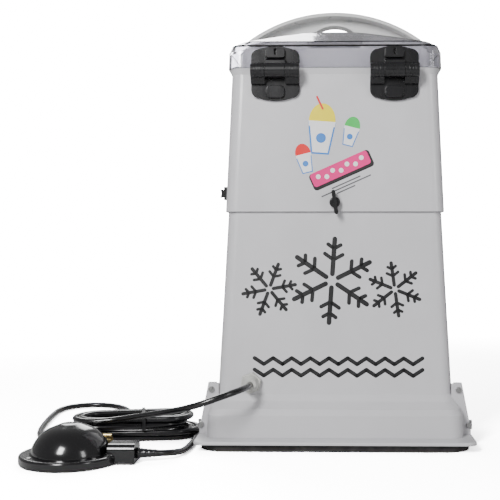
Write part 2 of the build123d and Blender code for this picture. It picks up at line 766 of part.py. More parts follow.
# ---- rear wing knob and its nut -------------------------------------------------------------
KNOB_FACE = head_back(KNOB_Z) + 0.5
WING_TILT = 8.5
with BuildPart() as wing_knob:
    with BuildSketch(facing_back(KNOB_FACE)):
        with Locations((0, KNOB_Z)):
            Circle(7.5)
    extrude(amount=9)
    fillet(wing_knob.faces().sort_by(Axis.Y)[-1].edges(), 1.5)
    with BuildSketch(facing_back(KNOB_FACE + 4)):
        with Locations(Location((0, KNOB_Z), WING_TILT)):
            SlotOverall(34, 5.2, rotation=90)
    extrude(amount=10)
    with BuildSketch(facing_front(KNOB_FACE)):
        with Locations((0, KNOB_Z)):
            Circle(3.0)
    extrude(amount=24)
save(wing_knob, "wing_knob")

with BuildPart() as knob_nut:
    with BuildSketch(facing_front(tower_back(KNOB_Z) - WALL - 0.6)):
        with Locations((0, KNOB_Z)):
            RegularPolygon(8, 6)
            Circle(3.0 + RUNNING, mode=Mode.SUBTRACT)
    extrude(amount=6)
save(knob_nut, "knob_nut")

# ---- power switch on the side ------------------------------------------------------------------
SWITCH_FACE = head_half(SWITCH_Z)
PIVOT_X = SWITCH_FACE + 6.0
with BuildPart() as switch_housing:
    with BuildSketch(across(SWITCH_FACE - 0.6)):
        with Locations((SWITCH_Y, SWITCH_Z)):
            RectangleRounded(17, 19, 2)
            Rectangle(10.4, 13.4, mode=Mode.SUBTRACT)
    extrude(amount=6)
    with BuildSketch(across(SWITCH_FACE - 0.6)):
        with Locations((SWITCH_Y, SWITCH_Z)):
            Rectangle(10.4, 13.4)
    extrude(amount=1.5)
save(switch_housing, "switch_housing")

with BuildPart() as switch_rocker:
    with BuildSketch(Plane.XZ.offset(-(SWITCH_Y - 4.8))):
        with BuildLine():
            Polyline(
                (PIVOT_X - 3.2, SWITCH_Z - 4.5),
                (PIVOT_X + 5.0, SWITCH_Z - 6.0),
                (PIVOT_X + 3.4, SWITCH_Z),
                (PIVOT_X + 5.0, SWITCH_Z + 6.0),
                (PIVOT_X - 3.2, SWITCH_Z + 4.5),
                close=True,
            )
        make_face()
    extrude(amount=-9.6)
save(switch_rocker, "switch_rocker")

# ---- drip tray and grid --------------------------------------------------------------------------
TRAY_FRONT = -200.0
TRAY_BACK = -64.0
TRAY_HALF = 132.0
TRAY_Z = FLOOR_Z + 0.4
TRAY_HIGH = 24.0
with BuildPart() as drip_tray:
    with BuildSketch(Plane.XY.offset(TRAY_Z)):
        with Locations((0, (TRAY_FRONT + TRAY_BACK) / 2)):
            RectangleRounded(2 * TRAY_HALF, TRAY_BACK - TRAY_FRONT, 14)
    extrude(amount=TRAY_HIGH)
    with BuildSketch(Plane.XY.offset(TRAY_Z + 2)):
        with Locations((0, (TRAY_FRONT + TRAY_BACK) / 2)):
            RectangleRounded(2 * TRAY_HALF - 4, TRAY_BACK - TRAY_FRONT - 4, 12)
    extrude(amount=TRAY_HIGH, mode=Mode.SUBTRACT)
save(drip_tray, "drip_tray")

with BuildPart() as drip_grid:
    with BuildSketch(Plane.XY.offset(TRAY_Z + TRAY_HIGH - 3)):
        with Locations((0, (TRAY_FRONT + TRAY_BACK) / 2)):
            RectangleRounded(2 * TRAY_HALF - 5, TRAY_BACK - TRAY_FRONT - 5, 11)
            with GridLocations(0, 12, 1, 9):
                SlotOverall(226, 5, mode=Mode.SUBTRACT)
    extrude(amount=2)
    with BuildSketch(Plane.XY.offset(TRAY_Z + TRAY_HIGH - 3)):
        with Locations((0, (TRAY_FRONT + TRAY_BACK) / 2)):
            with GridLocations(230, 110, 2, 2):
                Circle(4)
    extrude(amount=-(TRAY_HIGH - 5.02))
save(drip_grid, "drip_grid")

# ---- cord gland in the back ---------------------------------------------------------------
GLAND_FACE = tower_back(GLAND_Z) + 0.82
HEX_R = 15.0
HEX_LONG = 7.0
NUT_LONG = 13.0
with BuildPart() as cord_gland:
    with BuildSketch(facing_back(GLAND_FACE)):
        with Locations((-GLAND_X, GLAND_Z)):
            RegularPolygon(HEX_R, 6, rotation=20)
    extrude(amount=HEX_LONG)
    chamfer(cord_gland.faces().sort_by(Axis.Y)[-1].edges(), 0.8)
    with BuildSketch(facing_back(GLAND_FACE + HEX_LONG)):
        with Locations((-GLAND_X, GLAND_Z)):
            Circle(11.5)
    extrude(amount=NUT_LONG, taper=14)
    with BuildSketch(facing_front(GLAND_FACE)):
        with Locations((GLAND_X, GLAND_Z)):
            Circle(GLAND_HOLE - 0.2)
    extrude(amount=16)
    with BuildSketch(facing_back(GLAND_FACE - 20)):
        with Locations((-GLAND_X, GLAND_Z)):
            Circle(CORD_R)
    extrude(amount=60, mode=Mode.SUBTRACT)
save(cord_gland, "cord_gland")

with BuildPart() as gland_locknut:
    with BuildSketch(facing_front(GLAND_FACE - WALL - 1.6)):
        with Locations((GLAND_X, GLAND_Z)):
            RegularPolygon(12, 6)
            Circle(GLAND_HOLE - 0.2, mode=Mode.SUBTRACT)
    extrude(amount=5)
save(gland_locknut, "gland_locknut")

# ---- foot switch ------------------------------------------------------------------------------
RING_HIGH = 12.0
PLATE_HIGH = 2.5
DOME_TOP = 49.5
DOME_GAP = 0.6
BLOCK_END = FOOT_X - 85.8
BLOCK_HALF = 19.0
BLOCK_HIGH = 25.0
FOOT_CORD_Z = 11.3


def foot_sketch_centre():
    return Locations((FOOT_X, FOOT_Y))


with BuildPart() as foot_base:
    with BuildSketch(Plane.XY.offset(PLATE_HIGH)):
        with foot_sketch_centre():
            Circle(FOOT_R)
    extrude(amount=RING_HIGH - PLATE_HIGH)
    fillet(foot_base.faces().sort_by(Axis.Z)[-1].edges(), 3)
    with BuildSketch(across(BLOCK_END)) as block:
        with Locations((FOOT_Y, (PLATE_HIGH + BLOCK_HIGH) / 2)):
            Rectangle(2 * BLOCK_HALF, BLOCK_HIGH - PLATE_HIGH)
        fillet(block.vertices().group_by(Axis.Y)[-1], 8)
    extrude(amount=FOOT_X - DOME_R - DOME_GAP - 1.0 - BLOCK_END)
    with BuildSketch(Plane.XY.offset(PLATE_HIGH)):
        with foot_sketch_centre():
            Circle(DOME_R + 4.5)
    extrude(amount=6, mode=Mode.SUBTRACT)
    with BuildSketch(Plane.XY.offset(PLATE_HIGH)):
        with foot_sketch_centre():
            Circle(DOME_R + DOME_GAP)
    extrude(amount=BLOCK_HIGH, mode=Mode.SUBTRACT)
    with BuildSketch(across(BLOCK_END)):
        with Locations((FOOT_Y, FOOT_CORD_Z)):
            Circle(CORD_R)
    extrude(amount=60, mode=Mode.SUBTRACT)
save(foot_base, "foot_base")

with BuildPart() as foot_bottom_plate:
    with BuildSketch():
        with foot_sketch_centre():
            Circle(FOOT_R - 1)
        with Locations(((BLOCK_END + FOOT_X) / 2, FOOT_Y)):
            Rectangle(FOOT_X - BLOCK_END, 2 * BLOCK_HALF)
    extrude(amount=PLATE_HIGH)
    with BuildSketch(Plane.XY.offset(PLATE_HIGH)):
        with foot_sketch_centre():
            Circle(5)
    extrude(amount=8)
save(foot_bottom_plate, "foot_bottom_plate")

with BuildPart() as foot_screws:
    with BuildSketch(Plane.XY.offset(RING_HIGH)):
        with foot_sketch_centre():
            with PolarLocations(57.5, 4, start_angle=45):
                Circle(2.6)
    extrude(amount=1.2)
save(foot_screws, "foot_screws")

FLANGE_Z = 8.2  # top of the dome's foot at rest
FLANGE_LOW = 6.0
FLANGE_WIDE = 3.2
DOME_WALL = 2.6
DOME_STEPS = 5


def dome_outline(radius, foot, top):
    """Points along a quarter ellipse, from the dome's foot to its top."""
    turns = [pi / 2 * step / DOME_STEPS for step in range(DOME_STEPS + 1)]
    return [(radius * cos(turn), foot + (top - foot) * sin(turn)) for turn in turns]


with BuildPart() as foot_dome:
    with BuildSketch(Plane.XZ):
        with BuildLine():
            Line((0, DOME_TOP), (0, DOME_TOP - DOME_WALL))
            Spline(
                *dome_outline(DOME_R - DOME_WALL, FLANGE_LOW, DOME_TOP - DOME_WALL),
                tangents=((0, 1), (-1, 0)),
            )
            Polyline(
                (DOME_R - DOME_WALL, FLANGE_LOW),
                (DOME_R + FLANGE_WIDE, FLANGE_LOW),
                (DOME_R + FLANGE_WIDE, FLANGE_Z),
                (DOME_R, FLANGE_Z),
            )
            Spline(*dome_outline(DOME_R, FLANGE_Z, DOME_TOP), tangents=((0, 1), (-1, 0)))
        make_face()
    revolve(axis=Axis.Z)
    with BuildSketch(Plane.XY.offset(DOME_TOP - DOME_WALL - 14)):
        Circle(12.5)
        Circle(9.5, mode=Mode.SUBTRACT)
    extrude(amount=13.8)
foot_dome_placed = Pos(FOOT_X, FOOT_Y, 0) * foot_dome.part
foot_dome_placed.label = "foot_dome"
export_step(foot_dome_placed, "parts/foot_dome.step")

SPRING_R = 8.0
SPRING_WIRE = 0.9
SPRING_LOW = PLATE_HIGH + SPRING_WIRE + 0.1
SPRING_HIGH = DOME_TOP - DOME_WALL - SPRING_WIRE - 1.0
with BuildPart() as foot_spring:
    with BuildLine():
        Helix((SPRING_HIGH - SPRING_LOW) / 6, SPRING_HIGH - SPRING_LOW, SPRING_R, (FOOT_X, FOOT_Y, SPRING_LOW))
    with BuildSketch(Plane(origin=(FOOT_X + SPRING_R, FOOT_Y, SPRING_LOW), z_dir=(0, 1, 0))):
        Circle(SPRING_WIRE)
    sweep(is_frenet=True)
save(foot_spring, "foot_spring")

with BuildPart() as foot_micro_switch:
    with BuildSketch(Plane.XY.offset(PLATE_HIGH)):
        with Locations((FOOT_X - 27, FOOT_Y)):
            Rectangle(12, 28)
    extrude(amount=16)
    with BuildSketch(Plane.XY.offset(PLATE_HIGH + 16)):
        with Locations((FOOT_X - 27, FOOT_Y - 8)):
            Rectangle(4, 3)
    extrude(amount=1.5)
save(foot_micro_switch, "foot_micro_switch")


# ---- leads ---------------------------------------------------------------------------------------
def corner_radii(points):
    """The largest arc at each corner that both of its runs leave room for."""
    radii = []
    for before, here, after in zip(points, points[1:], points[2:]):
        first = Vector(*here) - Vector(*before)
        second = Vector(*after) - Vector(*here)
        turn = radians(first.get_angle(second))
        radii.append(0.45 * min(first.length, second.length) / tan(turn / 2))
    return radii


def lead(points):
    """A tube of the lead's diameter along straight runs and tangent arcs."""
    with BuildLine() as route:
        FilletPolyline(*points, radius=corner_radii(points))
    wire = route.wires()[0]
    with BuildSketch(Plane(origin=wire @ 0, z_dir=wire % 0)) as section:
        Circle(CORD_R)
    return sweep(section.sketch, path=wire, mode=Mode.PRIVATE)


HANK_LAYER = 17.0
LOW_HANK = Plane(origin=(284, 104, 0), x_dir=(cos(radians(8)), sin(radians(8)), 0), z_dir=(0, 0, 1))
HIGH_HANK_Z = 18.4
HIGH_TURN = radians(12)
HIGH_HANK = Plane(
    origin=(290, 108, HIGH_HANK_Z),
    x_dir=(cos(HIGH_TURN), sin(HIGH_TURN), 0),
    z_dir=(0, 0, 1),
)
HANK_WIDE = 80.5
LOW_LONG = 180.0
HIGH_LONG = 172.0

# From the gland, over the foot of the base, onto the upper hank.
GLAND_END = GLAND_FACE + HEX_LONG + NUT_LONG
POWER_ROUTE = [
    (GLAND_X, GLAND_END - 6, GLAND_Z),
    (GLAND_X + 0.7, 189, 86),
    (126.5, 213, 84.5),
    (147.5, 229, 79),
    (174, 232.5, 69.8),
    (200, 223.5, 61.5),
    (225, 206, 54.5),
    (250.5, 185, 47.5),
    (276, 165, 40.5),
    (303, 151, 34),
]
# From the foot switch to the right end of the lower hank.
FOOT_ROUTE = [
    (BLOCK_END + 8, FOOT_Y, FOOT_CORD_Z),
    (236, 257, 10.6),
    (214, 244, 8.4),
    (201.5, 221.5, 5.6),
    (198.5, 195, 4.5),
    (197.6, 168, 4.4),
    (197.6, 140, 4.4),
    (198.4, 112, 4.4),
]
# From the lower hank round a wide loop on the table to the plug behind the dome.
LOOP_ROUTE = [
    (262, 64.6, 12.6),
    (287, 68, 12),
    (311, 61.5, 9.6),
    (329, 43.5, 6.2),
    (337, 18.5, 4.5),
    (336, -8, 4.4),
    (332, -35, 4.4),
    (333, -62, 4.4),
    (343, -92, 4.4),
    (358, -118, 4.4),
    (379, -137, 4.4),
    (403.5, -146, 4.4),
    (429.5, -141.5, 4.4),
    (449.5, -124.5, 4.4),
    (458.5, -100, 4.4),
    (457.5, -68, 4.4),
    (452.5, -22, 4.4),
    (445.5, 24, 4.4),
    (437.5, 68, 4.4),
    (428, 106, 4.6),
    (415, 137, 6.5),
    (396.5, 161, 9.5),
    (372, 173.4, 11.9),
]
# From the upper hank down to its plug behind the hanks.
TAIL_ROUTE = [
    (343, 83.4, 22.8),
    (328, 78, 23),
    (312, 66.5, 22.4),
    (298.5, 54.6, 16.4),
    (287, 46.5, 11.4),
]

with BuildPart() as power_lead:
    add(lead(POWER_ROUTE))
save(power_lead, "power_lead")
with BuildPart() as switch_lead:
    add(lead(FOOT_ROUTE))
save(switch_lead, "switch_lead")
with BuildPart() as switch_lead_loop:
    add(lead(LOOP_ROUTE))
save(switch_lead_loop, "switch_lead_loop")
with BuildPart() as power_lead_tail:
    add(lead(TAIL_ROUTE))
save(power_lead_tail, "power_lead_tail")

with BuildPart() as switch_lead_hank:
    with BuildSketch(LOW_HANK):
        SlotOverall(LOW_LONG, HANK_WIDE)
    extrude(amount=HANK_LAYER)
save(switch_lead_hank, "switch_lead_hank")

with BuildPart() as power_lead_hank:
    with BuildSketch(HIGH_HANK):
        SlotOverall(HIGH_LONG, HANK_WIDE)
    extrude(amount=HANK_LAYER)
save(power_lead_hank, "power_lead_hank")

TIE_THICK = 1.0
TIE_WIDE = 4.5
with BuildPart() as lead_tie:
    with BuildSketch(HIGH_HANK.offset(-TIE_THICK - 0.1)):
        with Locations((-14, 0)):
            Rectangle(TIE_WIDE, HANK_WIDE + 2 * TIE_THICK + 0.4)
    extrude(amount=HANK_LAYER + 2 * TIE_THICK + 0.2)
    with BuildSketch(HIGH_HANK.offset(-0.1)):
        with Locations((-14, 0)):
            Rectangle(TIE_WIDE + 1, HANK_WIDE + 0.4)
    extrude(amount=HANK_LAYER + 0.2, mode=Mode.SUBTRACT)
save(lead_tie, "lead_tie")

PLUG_LONG = 48.0
GRIP_LONG = 22.0
PRONG_LONG = 18.0
PLUG_WIDE = 23.0
PLUG_HIGH = 22.0


def plug_plane(end, aim):
    """The plane of a plug's section where its lead enters, facing the prongs."""
    return Plane(origin=end, z_dir=aim, x_dir=(-aim[1], aim[0], 0))


def plug_grip(end, aim, high):
    """The two sections of the grip: round at the lead, nearly square at the nose."""
    with BuildSketch(plug_plane(end, aim)) as at_lead:
        RectangleRounded(13, 12, 5.8)
    with BuildSketch(plug_plane(end, aim).offset(GRIP_LONG)) as at_nose:
        RectangleRounded(PLUG_WIDE - 5, high - 4, 5)
    return [at_lead.sketch, at_nose.sketch]


def plug_nose(end, aim, high):
    with BuildSketch(plug_plane(end, aim).offset(GRIP_LONG)) as nose:
        RectangleRounded(PLUG_WIDE, high, 5)
    return nose.sketch


def plug_prongs(end, aim):
    """Two flat blades and a round earth pin on the plug's nose."""
    with BuildSketch(plug_plane(end, aim).offset(PLUG_LONG)) as prongs:
        with Locations((-6.35, -2.5), (6.35, -2.5)):
            Rectangle(1.5, 6.3)
        with Locations((0, 5.0)):
            Circle(2.35)
    return prongs.sketch


POWER_PLUG_END = (287, 46.5, 11.4)
POWER_PLUG_AIM = (-0.866, -0.5, 0)
SWITCH_PLUG_END = (372, 173.4, 11.9)
SWITCH_PLUG_AIM = (-1, 0, 0)
with BuildPart() as power_plug:
    loft(sections=plug_grip(POWER_PLUG_END, POWER_PLUG_AIM, PLUG_HIGH))
    extrude(plug_nose(POWER_PLUG_END, POWER_PLUG_AIM, PLUG_HIGH), amount=PLUG_LONG - GRIP_LONG)
save(power_plug, "power_plug")

with BuildPart() as power_plug_prongs:
    extrude(plug_prongs(POWER_PLUG_END, POWER_PLUG_AIM), amount=PRONG_LONG)
save(power_plug_prongs, "power_plug_prongs")

with BuildPart() as switch_plug:
    loft(sections=plug_grip(SWITCH_PLUG_END, SWITCH_PLUG_AIM, PLUG_HIGH + 1))
    extrude(plug_nose(SWITCH_PLUG_END, SWITCH_PLUG_AIM, PLUG_HIGH + 1), amount=PLUG_LONG - GRIP_LONG)
save(switch_plug, "switch_plug")

with BuildPart() as switch_plug_prongs:
    extrude(plug_prongs(SWITCH_PLUG_END, SWITCH_PLUG_AIM), amount=PRONG_LONG)
save(switch_plug_prongs, "switch_plug_prongs")
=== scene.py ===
"""Looks of the shaved ice machine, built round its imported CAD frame. Metres, +Z up, front faces -Y."""

import math

import bmesh
import bpy
from mathutils import Matrix, Vector


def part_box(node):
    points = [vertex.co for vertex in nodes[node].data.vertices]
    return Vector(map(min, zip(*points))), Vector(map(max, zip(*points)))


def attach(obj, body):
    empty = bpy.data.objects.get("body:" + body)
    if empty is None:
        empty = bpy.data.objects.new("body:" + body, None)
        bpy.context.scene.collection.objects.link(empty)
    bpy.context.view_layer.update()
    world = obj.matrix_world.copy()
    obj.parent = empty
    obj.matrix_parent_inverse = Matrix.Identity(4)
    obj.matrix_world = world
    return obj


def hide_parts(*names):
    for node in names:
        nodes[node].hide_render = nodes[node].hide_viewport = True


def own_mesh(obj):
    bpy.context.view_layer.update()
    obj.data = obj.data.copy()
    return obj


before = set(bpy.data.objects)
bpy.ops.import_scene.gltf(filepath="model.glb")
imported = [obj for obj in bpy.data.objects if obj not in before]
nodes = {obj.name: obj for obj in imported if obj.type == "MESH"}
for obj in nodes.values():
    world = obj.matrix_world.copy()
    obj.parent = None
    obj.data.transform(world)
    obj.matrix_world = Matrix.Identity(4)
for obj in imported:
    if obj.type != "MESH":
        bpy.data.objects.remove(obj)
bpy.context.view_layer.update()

MM = 0.001
CORD_D = 8.5 * MM
ROOT = "machine"


# ---- materials ---------------------------------------------------------------------------
def new_material(name, colour, roughness, metallic=0.0, coat=0.0):
    """A principled material whose uniform values are set on the shader itself."""
    material = bpy.data.materials.new(name)
    material.use_nodes = True
    tree = material.node_tree
    shader = tree.nodes["Principled BSDF"]
    shader.inputs["Base Color"].default_value = (*colour, 1)
    shader.inputs["Roughness"].default_value = roughness
    shader.inputs["Metallic"].default_value = metallic
    shader.inputs["Coat Weight"].default_value = coat
    shader.inputs["Coat Roughness"].default_value = 0.12
    return material, tree, shader


def noise(tree, scale, detail=3.0, stretch=(1, 1, 1)):
    """Noise over the object's own place, in metres."""
    where = tree.nodes.new("ShaderNodeTexCoord")
    mapping = tree.nodes.new("ShaderNodeMapping")
    mapping.inputs["Scale"].default_value = stretch
    texture = tree.nodes.new("ShaderNodeTexNoise")
    texture.inputs["Scale"].default_value = scale
    texture.inputs["Detail"].default_value = detail
    tree.links.new(where.outputs["Object"], mapping.inputs["Vector"])
    tree.links.new(mapping.outputs["Vector"], texture.inputs["Vector"])
    return texture.outputs["Fac"]


def ramp(tree, value, low, high, start=0.35, end=0.65):
    """Turns a value into a colour between low and high."""
    node = tree.nodes.new("ShaderNodeValToRGB")
    node.color_ramp.elements[0].position = start
    node.color_ramp.elements[0].color = (*low, 1)
    node.color_ramp.elements[1].position = end
    node.color_ramp.elements[1].color = (*high, 1)
    tree.links.new(value, node.inputs["Fac"])
    return node.outputs["Color"]


def spread(tree, value, low, high):
    """Maps the middle of a 0 to 1 value, where noise mostly lies, onto low to high."""
    node = tree.nodes.new("ShaderNodeMapRange")
    node.inputs["From Min"].default_value = 0.3
    node.inputs["From Max"].default_value = 0.7
    node.inputs["To Min"].default_value = low
    node.inputs["To Max"].default_value = high
    tree.links.new(value, node.inputs["Value"])
    return node.outputs["Result"]


def bump(tree, shader, height, strength, distance, edge=0.0):
    """Fine relief, over edges rounded by the given radius."""
    node = tree.nodes.new("ShaderNodeBump")
    node.inputs["Strength"].default_value = strength
    node.inputs["Distance"].default_value = distance
    tree.links.new(height, node.inputs["Height"])
    if edge:
        bevel = tree.nodes.new("ShaderNodeBevel")
        bevel.samples = 4
        bevel.inputs["Radius"].default_value = edge
        tree.links.new(bevel.outputs["Normal"], node.inputs["Normal"])
    tree.links.new(node.outputs["Normal"], shader.inputs["Normal"])


def shaded(colour, factor):
    return tuple(channel * factor for channel in colour)


def moulded(name, colour, roughness, grain=900, relief=0.05, coat=0.15, edge=1.2 * MM, worn=0.93):
    """Moulded plastic: faint clouding, handling marks in the gloss and an orange-peel skin."""
    material, tree, shader = new_material(name, colour, roughness, coat=coat)
    cloud = noise(tree, 9, 5)
    tree.links.new(ramp(tree, cloud, shaded(colour, worn), colour), shader.inputs["Base Color"])
    marks = noise(tree, 55, 6, (1, 1, 0.35))
    tree.links.new(spread(tree, marks, roughness * 0.85, roughness * 1.2), shader.inputs["Roughness"])
    bump(tree, shader, noise(tree, grain, 2), relief, 0.0002, edge)
    return material


def metal(name, colour, roughness, stretch=(1, 1, 1), scale=300, relief=0.08, edge=0.4 * MM):
    """Metal with brushed or cast variation; stretch sets the direction of the brushing."""
    material, tree, shader = new_material(name, colour, roughness, metallic=1.0)
    lines = noise(tree, scale, 4, stretch)
    tree.links.new(ramp(tree, lines, shaded(colour, 0.8), colour), shader.inputs["Base Color"])
    tree.links.new(spread(tree, lines, roughness * 0.75, roughness * 1.3), shader.inputs["Roughness"])
    bump(tree, shader, lines, relief, 0.0001, edge)
    return material


def clear_plastic(name):
    """Clear moulded plastic with a faint lavender cast at its edges."""
    material, tree, shader = new_material(name, (0.93, 0.92, 0.98), 0.04)
    shader.inputs["Transmission Weight"].default_value = 1.0
    shader.inputs["IOR"].default_value = 1.49
    haze = noise(tree, 40, 5)
    tree.links.new(spread(tree, haze, 0.03, 0.09), shader.inputs["Roughness"])
    bump(tree, shader, noise(tree, 25, 2), 0.03, 0.0006)
    return material


def ribbed_mat(name):
    """Black rubber with a dusty, slightly pitted skin."""
    material, tree, shader = new_material(name, (0.018, 0.018, 0.018), 0.75)
    dust = ramp(tree, noise(tree, 60, 6), (0.012, 0.012, 0.012), (0.035, 0.034, 0.033))
    tree.links.new(dust, shader.inputs["Base Color"])
    bump(tree, shader, noise(tree, 1400, 3), 0.35, 0.0004, 0.8 * MM)
    return material


BLACK = (0.004, 0.004, 0.005)
LOOKS = {
    "housing": moulded("grey_moulding", (0.585, 0.58, 0.60), 0.33),
    "cover": moulded("white_moulding", (0.72, 0.72, 0.72), 0.30),
    "hopper": moulded("hopper_moulding", (0.78, 0.78, 0.79), 0.35),
    "lid": clear_plastic("clear_moulding"),
    "hinge": moulded("black_nylon", (0.006, 0.006, 0.007), 0.28, grain=1500, relief=0.15, worn=0.7),
    "gloss": moulded("black_gloss", BLACK, 0.16, grain=260, relief=0.12, coat=0.6, worn=0.7),
    "lead": moulded("lead_jacket", BLACK, 0.24, grain=700, relief=0.25, coat=0.3, edge=0, worn=0.6),
    "nylon": moulded("natural_nylon", (0.50, 0.50, 0.47), 0.42, grain=1200, relief=0.12, edge=0.5 * MM),
    "mat": ribbed_mat("mat_rubber"),
    "zinc": metal("zinc_steel", (0.42, 0.42, 0.42), 0.35, (1, 1, 1), 500),
    "blade": metal("ground_blade_steel", (0.62, 0.62, 0.63), 0.22, (1, 12, 12), 200),
    "sheet": metal("brushed_stainless", (0.60, 0.60, 0.60), 0.30, (1, 6, 6), 260, 0.03),
    "cast": metal("cast_aluminium", (0.52, 0.53, 0.54), 0.48, (1, 1, 1), 900, 0.35),
    "motor": moulded("motor_enamel", (0.035, 0.04, 0.045), 0.40, grain=1800, relief=0.3, coat=0.2),
    "brass": metal("plated_brass", (0.62, 0.50, 0.25), 0.30, (1, 1, 6), 400),
    "tie": moulded("tie_strap", (0.011, 0.011, 0.012), 0.65, grain=2600, relief=0.6, coat=0.0, edge=0),
}
NODE_LOOKS = {
    "mat": ["base_mat"],
    "housing": ["base_tray", "lower_housing", "upper_housing"],
    "cover": ["front_cover"],
    "hopper": ["hopper_funnel"],
    "lid": ["lid"],
    "hinge": [
        "hinge_upper_leaves",
        "hinge_lower_leaves",
        "hinge_caps",
        "wing_knob",
        "switch_housing",
        "switch_rocker",
        "foot_micro_switch",
        "terminal_block",
    ],
    "gloss": ["foot_base", "foot_dome", "foot_bottom_plate", "power_plug", "switch_plug"],
    "nylon": ["cord_gland", "gland_locknut"],
    "zinc": [
        "ear_screws",
        "clip_nuts",
        "panel_screws",
        "cradle_bolts",
        "cover_screws",
        "foot_screws",
        "hinge_pins",
        "knob_nut",
        "motor_shaft",
        "impeller_nut",
        "shaft_bearing",
        "blade_screws",
        "deck_posts",
    ],
    "blade": ["shaving_blades"],
    "sheet": ["splash_panel", "snow_chute", "drip_tray", "drip_grid", "blade_plate", "motor_cradle"],
    "cast": ["ice_drum", "impeller", "deck_plate", "run_capacitor"],
    "motor": ["motor_body", "motor_end_cap"],
    "brass": ["power_plug_prongs", "switch_plug_prongs"],
    "tie": ["lead_tie"],
}


def dress(obj, look):
    obj.data.materials.clear()
    obj.data.materials.append(LOOKS[look])


def dress_nodes():
    """Every CAD node that stays gets its procedural material."""
    for look, names in NODE_LOOKS.items():
        for name in names:
            dress(nodes[name], look)


# ---- helpers for the builder's own pieces ----------------------------------------------------
def piece(name, mesh, look, body=ROOT):
    obj = bpy.data.objects.new(name, mesh)
    bpy.context.scene.collection.objects.link(obj)
    if look:
        dress(obj, look)
    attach(obj, body)
    return obj


def revolved(name, profile, origin, axis, look, body=ROOT, steps=48):
    """A turned piece. Profile points are (distance along the axis, radius), in mm."""
    mesh = bpy.data.meshes.new(name)
    made = bmesh.new()
    turn = Vector((0, 0, 1)).rotation_difference(Vector(axis)).to_matrix()
    rings = []
    for along, radius in profile:
        ring = []
        for step in range(steps):
            angle = 2 * math.pi * step / steps
            local = Vector((radius * math.cos(angle), radius * math.sin(angle), along)) * MM
            ring.append(made.verts.new(Vector(origin) + turn @ local))
        rings.append(ring)
    for low, high in zip(rings, rings[1:]):
        for step in range(steps):
            after = (step + 1) % steps
            made.faces.new((low[step], low[after], high[after], high[step]))
    made.faces.new(list(reversed(rings[0])))
    made.faces.new(rings[-1])
    for face in made.faces:
        face.smooth = len(face.verts) == 4
    made.to_mesh(mesh)
    made.free()
    return piece(name, mesh, look, body)


# ---- leads -------------------------------------------------------------------------------------
POWER_ROUTE = [
    (116.5, 164.3, 86),
    (117.2, 189, 86),
    (126.5, 213, 84.5),
    (147.5, 229, 79),
    (174, 232.5, 69.8),
    (200, 223.5, 61.5),
    (225, 206, 54.5),
    (250.5, 185, 47.5),
    (276, 165, 40.5),
    (303, 151, 34),
]
FOOT_ROUTE = [
    (261.2, 257, 11.4),
    (236, 257, 10.6),
    (214, 244, 8.4),
    (201.5, 221.5, 5.6),
    (198.5, 195, 4.5),
    (197.6, 168, 4.4),
    (197.6, 140, 4.4),
    (198.4, 112, 4.4),
]
LOOP_ROUTE = [
    (262, 64.6, 12.6),
    (287, 68, 12),
    (311, 61.5, 9.6),
    (329, 43.5, 6.2),
    (337, 18.5, 4.5),
    (336, -8, 4.4),
    (332, -35, 4.4),
    (333, -62, 4.4),
    (343, -92, 4.4),
    (358, -118, 4.4),
    (379, -137, 4.4),
    (403.5, -146, 4.4),
    (429.5, -141.5, 4.4),
    (449.5, -124.5, 4.4),
    (458.5, -100, 4.4),
    (457.5, -68, 4.4),
    (452.5, -22, 4.4),
    (445.5, 24, 4.4),
    (437.5, 68, 4.4),
    (428, 106, 4.6),
    (415, 137, 6.5),
    (396.5, 161, 9.5),
    (372, 173.4, 11.9),
]
TAIL_ROUTE = [
    (343, 83.4, 22.8),
    (328, 78, 23),
    (312, 66.5, 22.4),
    (298.5, 54.6, 16.4),
    (287, 46.5, 11.4),
]

# A hank's turn has sixteen control points, numbered anticlockwise from its left end.
TURN_POINTS = 16
ARC_STEP = 36  # degrees between the control points of a round end
TURNS = 3
OUTER = 36.0  # radii of the two rings in one layer
INNER = 27.5
LOW_LAYER = 4.25  # heights of the two layers
TOP_LAYER = 12.75
LOW_HANK = ((284, 104, 0), 8, 49.75)  # place, tilt in degrees and half length
HIGH_HANK = ((290, 108, 18.4), 12, 45.75)
SLACK = 1.2  # how loosely the turns lie

# On its front run a turn moves to the next ring: the shares of the change in radius and height there.
ANTICLOCKWISE_SHIFT = {11: (0.35, 0.0), 12: (0.75, 0.35), 13: (1.0, 0.8), 14: (1.0, 1.0), 15: (1.0, 1.0)}
CLOCKWISE_SHIFT = {13: (0.35, 0.0), 12: (0.75, 0.35), 11: (1.0, 0.8)}

BLOCK_RELIEF_LONG = 26
PLUG_RELIEF_LONG = 24
RELIEF_TIP = 4.9  # radius of a strain relief where it ends on the lead
SLEEVE_SIDES = 32


def turn_point(index, half, radius):
    """One control point of a turn: two round ends joined by straight runs."""
    inset = half - radius * math.tan(math.radians(ARC_STEP / 2))
    reach = radius / math.cos(math.radians(ARC_STEP / 2))
    if 3 <= index <= 5:
        return ((index - 4) * inset, -radius)
    if 11 <= index <= 13:
        return ((12 - index) * inset, radius)
    if 6 <= index <= 10:
        angle = math.radians((index - 8) * ARC_STEP)
        return (half + reach * math.cos(angle), reach * math.sin(angle))
    angle = math.radians(180 + ((index + 2) % TURN_POINTS - 2) * ARC_STEP)
    return (-half + reach * math.cos(angle), reach * math.sin(angle))


